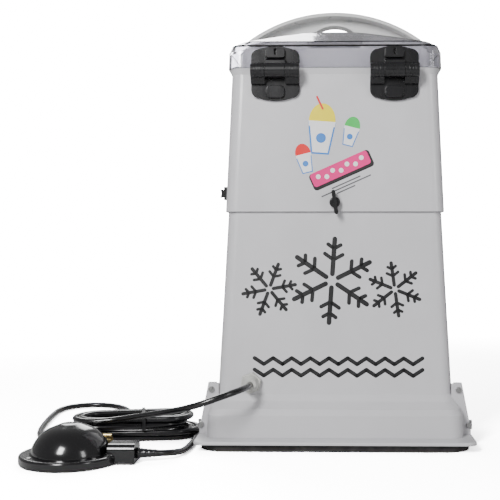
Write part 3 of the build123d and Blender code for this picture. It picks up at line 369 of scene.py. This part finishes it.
def hank_points(hank, rings, order, shift, last):
    """A hank's turns in the order given, each on its own ring of (radius, height), and its last points."""
    origin, tilt, half = hank
    points = []
    visits = [(turn, index) for turn in range(TURNS) for index in order]
    visits += [(TURNS, index) for index in last]
    for turn, index in visits:
        radius, height = rings[turn]
        if turn < TURNS and index in shift:
            share_radius, share_height = shift[index]
            radius += (rings[turn + 1][0] - radius) * share_radius
            height += (rings[turn + 1][1] - height) * share_height
        slack = SLACK * math.sin(2.1 * turn + 0.9 * index)
        x, y = turn_point(index, half + min(slack, 0), radius)
        place = Matrix.Rotation(math.radians(tilt), 3, "Z") @ Vector((x, y, height))
        points.append(Vector(origin) + place)
    return points


def cord_curve(name, points):
    """A round lead on one smooth open line through its route, given in mm."""
    data = bpy.data.curves.new(name, "CURVE")
    data.dimensions = "3D"
    spline = data.splines.new("NURBS")
    spline.points.add(len(points) - 1)
    for control, place in zip(spline.points, points):
        control.co = (*(Vector(place) * MM), 1)
    spline.order_u = 3
    spline.use_endpoint_u = True
    spline.resolution_u = 8
    data.bevel_depth = CORD_D / 2
    data.bevel_resolution = 5
    data.use_fill_caps = True
    obj = bpy.data.objects.new(name, data)
    bpy.context.scene.collection.objects.link(obj)
    dress(obj, "lead")
    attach(obj, ROOT)
    return obj


def centre_line(cord):
    """The points of a cord's own line, read from its spline with no bevel."""
    bare = cord.copy()
    bare.data = cord.data.copy()
    bare.parent = None
    bare.data.bevel_depth = 0
    bpy.context.scene.collection.objects.link(bare)
    bpy.context.view_layer.update()
    shown = bare.evaluated_get(bpy.context.evaluated_depsgraph_get())
    mesh = bpy.data.meshes.new_from_object(shown)
    line = [vertex.co.copy() for vertex in mesh.vertices]
    bpy.data.objects.remove(bare)
    bpy.data.meshes.remove(mesh)
    return line


def length_of(line):
    return sum((b - a).length for a, b in zip(line, line[1:]))


def at_distance(line, distance):
    """Place and direction at a distance along a line."""
    for a, b in zip(line, line[1:]):
        step = (b - a).length
        if distance <= step:
            return a + (b - a) * (distance / step), (b - a).normalized()
        distance -= step
    return line[-1], (line[-1] - line[-2]).normalized()


def sleeve(name, line, start, profile, look):
    """A ribbed or tapered sleeve that follows a lead. Profile is (distance, radius), in mm."""
    mesh = bpy.data.meshes.new(name)
    made = bmesh.new()
    rings = []
    side = Vector((0, 0, 1))
    for along, radius in profile:
        centre, direction = at_distance(line, start + along * MM)
        across = direction.cross(side).normalized()
        up = across.cross(direction)
        ring = []
        for step in range(SLEEVE_SIDES):
            angle = 2 * math.pi * step / SLEEVE_SIDES
            offset = (across * math.cos(angle) + up * math.sin(angle)) * radius * MM
            ring.append(made.verts.new(centre + offset))
        rings.append(ring)
    for low, high in zip(rings, rings[1:]):
        for step in range(SLEEVE_SIDES):
            after = (step + 1) % SLEEVE_SIDES
            face = made.faces.new((low[step], low[after], high[after], high[step]))
            face.smooth = True
    made.faces.new(list(reversed(rings[0])))
    made.faces.new(rings[-1])
    bmesh.ops.recalc_face_normals(made, faces=made.faces)
    made.to_mesh(mesh)
    made.free()
    return piece(name, mesh, look)


def relief_profile(wide, narrow, long, ribs):
    """Strain relief: a collar, then ribs that taper down to the lead."""
    profile = [(0, wide), (2.5, wide), (3.2, wide - 0.5)]
    pitch = (long - 4) / ribs
    for rib in range(ribs):
        radius = wide - 0.5 + (narrow - wide + 0.5) * (rib + 0.5) / ribs
        begin = 3.6 + rib * pitch
        profile += [(begin, radius), (begin + 0.62 * pitch, radius), (begin + 0.72 * pitch, radius - 0.7)]
        profile += [(begin + 0.92 * pitch, radius - 0.7)]
    profile += [(long - 0.4, narrow), (long, narrow - 0.4)]
    return profile


def backwards(profile, long):
    return [(long - along, radius) for along, radius in reversed(profile)]


def add_leads():
    """Both leads, each on one line from where it leaves the object to its plug."""
    pile_up = [(OUTER, LOW_LAYER), (INNER, LOW_LAYER), (INNER, TOP_LAYER), (OUTER, TOP_LAYER)]
    pile_down = list(reversed(pile_up))
    anticlockwise = list(range(TURN_POINTS))
    clockwise = [(10 - step) % TURN_POINTS for step in range(TURN_POINTS)]
    low_hank = hank_points(LOW_HANK, pile_up, anticlockwise, ANTICLOCKWISE_SHIFT, anticlockwise[:3])
    high_hank = hank_points(HIGH_HANK, pile_down, clockwise, CLOCKWISE_SHIFT, clockwise[:5])
    switch_lead = cord_curve("switch_lead_line", FOOT_ROUTE + low_hank + LOOP_ROUTE)
    power_lead = cord_curve("power_lead_line", POWER_ROUTE + high_hank + TAIL_ROUTE)

    switch_line = centre_line(switch_lead)
    power_line = centre_line(power_lead)
    relief = relief_profile(7.0, RELIEF_TIP, BLOCK_RELIEF_LONG, 4)
    block_relief = sleeve("switch_block_relief", switch_line, 8 * MM, relief, "gloss")
    plug_relief = relief_profile(6.0, RELIEF_TIP, PLUG_RELIEF_LONG, 5)
    plug_relief = backwards(plug_relief, PLUG_RELIEF_LONG)
    switch_start = length_of(switch_line) - PLUG_RELIEF_LONG * MM
    switch_relief = sleeve("switch_plug_relief", switch_line, switch_start, plug_relief, "gloss")
    power_start = length_of(power_line) - PLUG_RELIEF_LONG * MM
    power_relief = sleeve("power_plug_relief", power_line, power_start, plug_relief, "gloss")

    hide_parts("switch_lead", "switch_lead_hank", "switch_lead_loop")
    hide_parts("power_lead", "power_lead_hank", "power_lead_tail")


# ---- printed film on the back and side ---------------------------------------------------------
UPPER = "upper_housing"
LOWER = "lower_housing"
FILM = 0.12  # thickness, and the step between films that lie on one another
OUTSIDE = 320  # rays to the walls start here
BANNER_TILT = -24
BANNER_MIDDLE = (-8, 385)


def film_look(name, colour, roughness=0.35):
    """Printed vinyl: one ink with a slight mottle and a soft gloss."""
    LOOKS[name] = moulded(name, colour, roughness, grain=2400, relief=0.04, coat=0.1, edge=0, worn=0.9)


def surface_at(node, origin, direction):
    """Where a ray in mm meets a CAD node, with the surface's normal."""
    hit, place, normal, _ = nodes[node].ray_cast(Vector(origin) * MM, Vector(direction))
    if not hit:
        raise RuntimeError(f"no surface of {node} behind {origin}")
    return place, normal


def film(name, shapes, look, node, lift=1, face="back"):
    """Flat printed shapes laid on a wall. Each shape is an outline of (across, z) points in mm."""
    mesh = bpy.data.meshes.new(name)
    made = bmesh.new()
    for shape in shapes:
        raised = []
        for across, height in shape:
            if face == "back":
                place, normal = surface_at(node, (across, OUTSIDE, height), (0, -1, 0))
            else:
                place, normal = surface_at(node, (OUTSIDE, across, height), (-1, 0, 0))
            raised.append(made.verts.new(place + normal * FILM * lift * MM))
        made.faces.new(raised)
    bmesh.ops.triangulate(made, faces=made.faces)
    bmesh.ops.recalc_face_normals(made, faces=made.faces)
    made.to_mesh(mesh)
    made.free()
    printed = piece(name, mesh, look)
    thickness = printed.modifiers.new("film", "SOLIDIFY")
    thickness.thickness = FILM * MM
    thickness.offset = 0
    return printed


def turned(points, degrees, centre, scale=1.0):
    """Points turned and scaled about their own origin, then moved to a centre."""
    angle = math.radians(degrees)
    out = []
    for x, z in points:
        across = scale * (x * math.cos(angle) - z * math.sin(angle))
        height = scale * (x * math.sin(angle) + z * math.cos(angle))
        out.append((centre[0] + across, centre[1] + height))
    return out


def disc(radius_x, radius_z, centre=(0, 0), start=0, end=360, steps=28):
    """An ellipse, or the part of it between two angles."""
    points = []
    for step in range(steps + 1):
        angle = math.radians(start + (end - start) * step / steps)
        points.append((centre[0] + radius_x * math.cos(angle), centre[1] + radius_z * math.sin(angle)))
    return points[:-1] if end - start == 360 else points


def rounded_box(half_x, half_z, radius):
    """A rectangle with round corners, round its own middle."""
    points = []
    for corner_x, corner_z, start in ((1, 1, 0), (-1, 1, 90), (-1, -1, 180), (1, -1, 270)):
        middle = (corner_x * (half_x - radius), corner_z * (half_z - radius))
        points += disc(radius, radius, middle, start, start + 90, 6)
    return points


def stroke(begin, end, width):
    """A brush stroke between two points, with round ends."""
    along = math.degrees(math.atan2(end[1] - begin[1], end[0] - begin[0]))
    first = disc(width / 2, width / 2, begin, along + 90, along + 270, 6)
    return first + disc(width / 2, width / 2, end, along - 90, along + 90, 6)


def snowflake(centre, size, width, tilt):
    """Six plain arms, each with two pairs of barbs, as separate strokes for a radius of 1."""
    strokes = []
    for arm in range(6):
        parts = [stroke((0, 0.16), (0, 0.98), width)]
        for reach, barb in ((0.50, 0.24), (0.76, 0.17)):
            for side in (-1, 1):
                tip = (side * barb * 0.87, reach + barb * 0.5)
                parts.append(stroke((side * 0.045, reach + 0.02), tip, width * 0.8))
        for part in parts:
            strokes.append(turned(part, tilt + 60 * arm, centre, size))
    return strokes


def snow_cup(name, centre, size, tilt, snow_look):
    """A plain paper cup with a rounded heap of snow, as films. Its paper is one unit high."""
    cup = [(-0.42, 0.0), (0.42, 0.0), (0.26, -1.0), (-0.26, -1.0)]
    outline = [(-0.48, 0.05), (0.48, 0.05), (0.31, -1.06), (-0.31, -1.06)]
    band = [(-0.47, 0.08), (0.47, 0.08), (0.45, -0.10), (-0.45, -0.10)]
    heap = disc(0.46, 0.62, (0, 0.08), 0, 180, 20)
    film(name + "_outline", [turned(outline, tilt, centre, size)], "ink_blue", UPPER, 1)
    film(name + "_paper", [turned(cup, tilt, centre, size)], "ink_white", UPPER, 2.2)
    film(name + "_rim", [turned(band, tilt, centre, size)], "ink_white", UPPER, 3.4)
    film(name + "_snow", [turned(heap, tilt, centre, size)], snow_look, UPPER, 2.2)
    spot = disc(0.17, 0.17, (0, -0.5))
    film(name + "_spot", [turned(spot, tilt, centre, size)], "ink_blue", UPPER, 3.4)


def add_film_looks():
    film_look("ink_white", (0.86, 0.86, 0.87))
    film_look("ink_blue", (0.05, 0.22, 0.62))
    film_look("ink_yellow", (0.90, 0.74, 0.01))
    film_look("ink_red", (0.74, 0.015, 0.015))
    film_look("ink_green", (0.05, 0.52, 0.10))
    film_look("ink_pink", (0.80, 0.02, 0.22))
    film_look("ink_black", (0.008, 0.008, 0.009), 0.42)
    film_look("ink_grey", (0.10, 0.10, 0.11), 0.45)


def add_upper_sticker():
    """Generic snow treats over a plain tilted banner, with no lettering."""
    snow_cup("large_treat", (18, 449), 41, 4, "ink_yellow")
    snow_cup("left_treat", (44, 404), 24, -14, "ink_red")
    snow_cup("right_treat", (-24, 442), 24, 14, "ink_green")
    film("treat_straw", [stroke((17, 470), (25, 487), 2.6)], "ink_red", UPPER, 3.4)
    middle_x, middle_z = BANNER_MIDDLE
    shadow = turned(rounded_box(46, 12.5, 5), BANNER_TILT, (middle_x - 1.5, middle_z - 2))
    film("banner_shadow", [shadow], "ink_black", UPPER, 1)
    field = turned(rounded_box(43.5, 10, 4), BANNER_TILT, BANNER_MIDDLE)
    film("banner_field", [field], "ink_pink", UPPER, 4.6)
    dots = []
    for step in range(7):
        along = (-33 + 11 * step, 2.4 * math.cos(math.pi * step))
        spot = turned([along], BANNER_TILT, BANNER_MIDDLE)[0]
        dots.append(disc(3.4, 3.4, spot, steps=18))
    film("banner_dots", dots, "ink_white", UPPER, 5.8)
    lines = []
    for drop, half in ((19, 22), (24, 38), (29, 14)):
        lines.append(turned(rounded_box(half, 0.9, 0.8), BANNER_TILT, (middle_x - 8, middle_z - drop)))
    film("banner_rules", lines, "ink_grey", UPPER, 1)


def add_lower_art():
    """Plain snow crystals in black film, and a wave band under them."""
    crystals = snowflake((4, 228), 60, 0.11, 4)
    crystals += snowflake((92, 216), 38, 0.13, 20)
    crystals += snowflake((-84, 216), 38, 0.13, -8)
    film("snow_crystals", crystals, "ink_black", LOWER, 1)
    waves = []
    for row in (116, 100):
        for step in range(18):
            begin = 112 - 13 * step
            rise = 4.2 if step % 2 else -4.2
            waves.append(stroke((begin, row - rise), (begin - 13, row + rise), 5.4))
    film("wave_band", waves, "ink_black", LOWER, 1)


def add_side_label():
    """A blank rounded label on the side with the lead, with a thin dark frame."""
    middle = (92, 144)
    film("side_label_frame", [turned(rounded_box(31, 27, 6), 0, middle)], "ink_grey", LOWER, 1, "side")
    film("side_label", [turned(rounded_box(30, 26, 5.4), 0, middle)], "ink_white", LOWER, 2.2, "side")


# ---- detail pieces --------------------------------------------------------------------------
BARREL = 10.0  # radius of a hinge's knuckles
HINGE_X = 83.5
RIB_FIRST = 20.5  # from the middle of a hinge
RIB_PITCH = 4.2
RING_SUNK = 1.2  # the dome ring's foot, below the dome's top
SPRING_WIRE = 0.9 * MM
SPRING_COILS = 6
COIL_STEPS = 28
WIRE_SIDES = 10


def add_hinge_ribs():
    """Raised ribs round each fixed knuckle of the lid hinges."""
    low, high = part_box("hinge_pins")
    axis_y = (low.y + high.y) / 2
    axis_z = (low.z + high.z) / 2
    foot = BARREL - 0.4
    crest = BARREL + 0.45
    profile = [(-0.9, foot), (-0.5, crest), (0.5, crest), (0.9, foot)]
    for side in (-1, 1):
        for knuckle in (-1, 1):
            for rib in range(3):
                x = side * HINGE_X + knuckle * (RIB_FIRST + RIB_PITCH * rib)
                name = f"hinge_rib_{'left' if side < 0 else 'right'}_{knuckle + 1}_{rib}"
                revolved(name, profile, (x * MM, axis_y, axis_z), (1, 0, 0), "hinge", steps=36)


def add_dome_ring():
    """The moulded step round the top of the foot switch's dome."""
    low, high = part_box("foot_dome")
    middle = (low + high) / 2
    profile = [(0, 12.5), (0.5, 12.2), (0.55, 10.8), (0.1, 10.2)]
    foot = (middle.x, middle.y, high.z - RING_SUNK * MM)
    revolved("dome_top_ring", profile, foot, (0, 0, 1), "gloss", "dome")


def add_foot_spring():
    """The foot switch's return spring, a wire coil wound in the place of the CAD spring."""
    low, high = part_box("foot_spring")
    middle = (low + high) / 2
    coil_radius = (high.x - low.x) / 2 - SPRING_WIRE
    rise = high.z - low.z - 2 * SPRING_WIRE
    made = bmesh.new()
    rings = []
    total = SPRING_COILS * COIL_STEPS
    for step in range(total + 1):
        turn = 2 * math.pi * step / COIL_STEPS
        outward = Vector((math.cos(turn), math.sin(turn), 0))
        height = low.z + SPRING_WIRE + rise * step / total
        centre = Vector((middle.x, middle.y, height)) + outward * coil_radius
        ring = []
        for side in range(WIRE_SIDES):
            angle = 2 * math.pi * side / WIRE_SIDES
            offset = outward * math.cos(angle) + Vector((0, 0, math.sin(angle)))
            ring.append(made.verts.new(centre + offset * SPRING_WIRE))
        rings.append(ring)
    for first, second in zip(rings, rings[1:]):
        for side in range(WIRE_SIDES):
            after = (side + 1) % WIRE_SIDES
            face = made.faces.new((first[side], first[after], second[after], second[side]))
            face.smooth = True
    made.faces.new(list(reversed(rings[0])))
    made.faces.new(rings[-1])
    bmesh.ops.recalc_face_normals(made, faces=made.faces)
    mesh = bpy.data.meshes.new("foot_return_spring")
    made.to_mesh(mesh)
    made.free()
    spring = piece("foot_return_spring", mesh, "zinc")
    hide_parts("foot_spring")
    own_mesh(spring)


def add_details():
    add_hinge_ribs()
    add_dome_ring()
    add_foot_spring()


# ---- camera, floor and light ------------------------------------------------------------------
CAMERA_AWAY = 1.430
CAMERA_HIGH = 0.271
CAMERA_YAW = 1.2
LENS = 66.2
SHIFT_X = -0.131
STAGE_HALF = 14.0
STAGE_LOW = -0.0004  # just under the base and the leads
STAGE_BOUNCE = 0.55  # the stage as the object meets it
STAGE_WHITE = 12.0  # the stage as the camera meets it
WORLD_LIGHT = 0.30
WORLD_WHITE = 26.0
FADE_FROM = 0.8  # the stage turns into the white wall between these distances
FADE_TO = 2.6


def add_camera():
    data = bpy.data.cameras.new("camera")
    data.lens = LENS
    data.sensor_width = 36
    data.shift_x = SHIFT_X
    camera = bpy.data.objects.new("camera", data)
    camera.location = (0, CAMERA_AWAY, CAMERA_HIGH)
    camera.rotation_euler = (math.radians(90), 0, math.radians(180 + CAMERA_YAW))
    bpy.context.scene.collection.objects.link(camera)
    bpy.context.scene.camera = camera


def show_to_camera(tree, light, seen, output):
    """The backdrop is shown whiter than the light that it throws on the object."""
    path = tree.nodes.new("ShaderNodeLightPath")
    mix = tree.nodes.new("ShaderNodeMixShader")
    tree.links.new(path.outputs["Is Camera Ray"], mix.inputs["Fac"])
    tree.links.new(light, mix.inputs[1])
    tree.links.new(seen, mix.inputs[2])
    tree.links.new(mix.outputs[0], output)


def add_floor():
    """One plain pale sheet that fades into the white wall away from the object."""
    material, tree, shader = new_material("stage_paper", (STAGE_BOUNCE,) * 3, 0.9)
    lit = tree.nodes.new("ShaderNodeBsdfDiffuse")
    lit.inputs["Color"].default_value = (STAGE_WHITE, STAGE_WHITE, STAGE_WHITE, 1)
    glow = tree.nodes.new("ShaderNodeEmission")
    glow.inputs["Strength"].default_value = WORLD_WHITE
    where = tree.nodes.new("ShaderNodeTexCoord")
    away = tree.nodes.new("ShaderNodeVectorMath")
    away.operation = "LENGTH"
    tree.links.new(where.outputs["Object"], away.inputs[0])
    fade = tree.nodes.new("ShaderNodeMapRange")
    fade.interpolation_type = "SMOOTHSTEP"
    fade.inputs["From Min"].default_value = FADE_FROM
    fade.inputs["From Max"].default_value = FADE_TO
    tree.links.new(away.outputs["Value"], fade.inputs["Value"])
    seen = tree.nodes.new("ShaderNodeMixShader")
    tree.links.new(fade.outputs["Result"], seen.inputs["Fac"])
    tree.links.new(lit.outputs[0], seen.inputs[1])
    tree.links.new(glow.outputs[0], seen.inputs[2])
    surface = tree.nodes["Material Output"].inputs["Surface"]
    show_to_camera(tree, shader.outputs[0], seen.outputs[0], surface)
    mesh = bpy.data.meshes.new("stage")
    made = bmesh.new()
    corners = [(-1, -1), (1, -1), (1, 1), (-1, 1)]
    made.faces.new([made.verts.new((x * STAGE_HALF, y * STAGE_HALF, STAGE_LOW)) for x, y in corners])
    made.to_mesh(mesh)
    made.free()
    floor = bpy.data.objects.new("stage", mesh)
    floor.data.materials.append(material)
    bpy.context.scene.collection.objects.link(floor)


def add_world():
    world = bpy.data.worlds.new("studio")
    world.use_nodes = True
    background = world.node_tree.nodes["Background"]
    background.inputs["Color"].default_value = (1, 1, 1, 1)
    background.inputs["Strength"].default_value = WORLD_LIGHT
    seen = world.node_tree.nodes.new("ShaderNodeBackground")
    seen.inputs["Strength"].default_value = WORLD_WHITE
    surface = world.node_tree.nodes["World Output"].inputs["Surface"]
    show_to_camera(world.node_tree, background.outputs[0], seen.outputs[0], surface)
    bpy.context.scene.world = world


def add_light(name, place, target, size, power):
    data = bpy.data.lights.new(name, "AREA")
    data.shape = "RECTANGLE"
    data.size = size[0]
    data.size_y = size[1]
    data.energy = power
    light = bpy.data.objects.new(name, data)
    light.location = place
    light.rotation_euler = (Vector(target) - Vector(place)).to_track_quat("-Z", "Y").to_euler()
    bpy.context.scene.collection.objects.link(light)


def add_lights():
    """A large soft key from the camera's upper left, a weaker fill, and one for the far side."""
    add_light("key", (0.85, 1.9, 1.35), (0, 0.1, 0.4), (0.5, 0.9), 58)
    add_light("fill", (-1.9, 1.9, 1.0), (0, 0.1, 0.3), (0.5, 1.2), 15)
    add_light("far", (0.8, -2.2, 1.6), (0, -0.1, 0.35), (1.4, 1.4), 45)


dress_nodes()
add_leads()
add_film_looks()
add_upper_sticker()
add_lower_art()
add_side_label()
add_details()
add_floor()
add_world()
add_lights()
add_camera()
